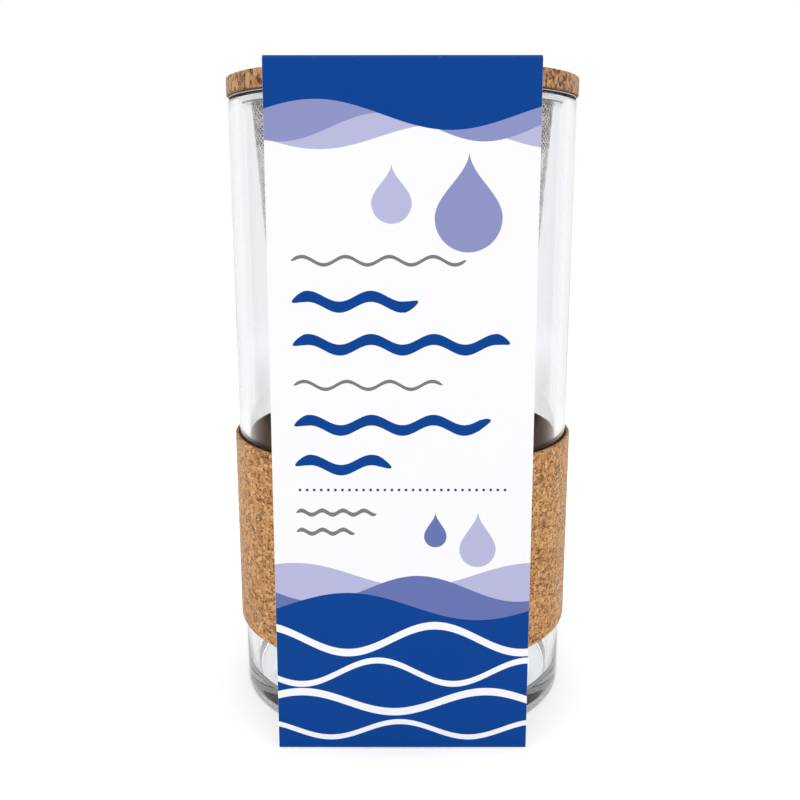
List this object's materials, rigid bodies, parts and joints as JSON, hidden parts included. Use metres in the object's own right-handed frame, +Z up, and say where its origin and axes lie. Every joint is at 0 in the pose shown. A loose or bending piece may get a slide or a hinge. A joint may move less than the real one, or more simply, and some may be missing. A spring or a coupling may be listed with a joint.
{
  "type": "hydroponic herb garden",
  "caption": "Clear glass grow jar with cork lid and cork band, a steel mesh net pot with wick and grow kit hung in its mouth, and a printed card sleeve saddled over it.",
  "frame": {"origin": "on the table, under the centre of the jar's base", "axes": "+Z up along the jar's axis, +X to the right of the sleeve's front panel, which faces -Y"},
  "size_m": [0.0896, 0.0914, 0.1605],
  "materials": {
    "clear_glass": "gloss",
    "adhesive_film": "satin",
    "band_cork": "matte",
    "lid_cork": "matte",
    "polished_steel": "satin",
    "steel_mesh": "satin",
    "felt": "matte",
    "coir": "matte",
    "kraft_paper": "matte",
    "white_paper": "matte",
    "foil_film": "gloss",
    "dark_film": "satin",
    "printed_card": "satin"
  },
  "bodies": {
    "jar": {"glass_jar": "clear_glass", "band_adhesive": "adhesive_film", "cork_band": "band_cork"},
    "net_pot": {"net_pot_rim": "polished_steel", "net_pot_wall": "steel_mesh", "net_pot_foot_ring": "polished_steel", "net_pot_bottom": "steel_mesh", "wick": "felt"},
    "grow_kit": {"coir_disc_lower": "coir", "coir_disc_upper": "coir", "basil_seed_packet": "kraft_paper", "parsley_seed_packet": "kraft_paper", "instruction_leaflet": "white_paper", "plant_food_sachet": "foil_film", "carbon_sachet": "dark_film"},
    "lid": {"cork_lid": "lid_cork"},
    "sleeve": {"card_sleeve": "printed_card"}
  },
  "joints": [
    {"name": "net_pot_lift", "type": "slide", "parent": "jar", "child": "net_pot", "axis": [0, 0, 1], "range_m": [0, 0.15]},
    {"name": "kit_lift", "type": "slide", "parent": "net_pot", "child": "grow_kit", "axis": [0, 0, 1], "range_m": [0, 0.08]},
    {"name": "lid_lift", "type": "slide", "parent": "grow_kit", "child": "lid", "axis": [0, 0, 1], "range_m": [0, 0.05]},
    {"name": "sleeve_lift", "type": "slide", "parent": "lid", "child": "sleeve", "axis": [0, 0, 1], "range_m": [0, 0.165]}
  ]
}
